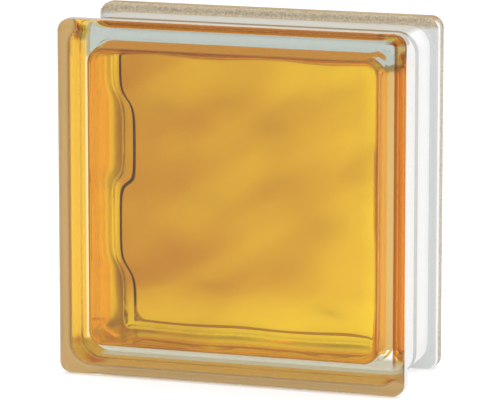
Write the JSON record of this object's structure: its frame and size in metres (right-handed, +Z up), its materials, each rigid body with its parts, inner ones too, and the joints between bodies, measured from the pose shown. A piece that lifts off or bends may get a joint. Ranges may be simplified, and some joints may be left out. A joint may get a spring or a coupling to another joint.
{
  "type": "glass block",
  "caption": "Square hollow glass block for light-passing walls: pressed halves fused at a seam, with an amber front, a clear back, a mortar channel round the edge and soft waves inside.",
  "frame": {"origin": "middle of the underside, on the level of the rims the block stands on", "axes": "+X across the face to the viewer's right, +Y through the block from the amber front face to the clear back face, +Z up"},
  "size_m": [0.19, 0.08, 0.19],
  "materials": {
    "amber_glass": "clear pressed glass with an amber colour coat on its inside, smooth outside, matt on the lip and channel",
    "clear_glass": "clear pressed glass, smooth outside, matt on the lip and channel"
  },
  "bodies": {
    "root": {"front_half": "amber_glass", "back_half": "clear_glass"}
  },
  "joints": []
}
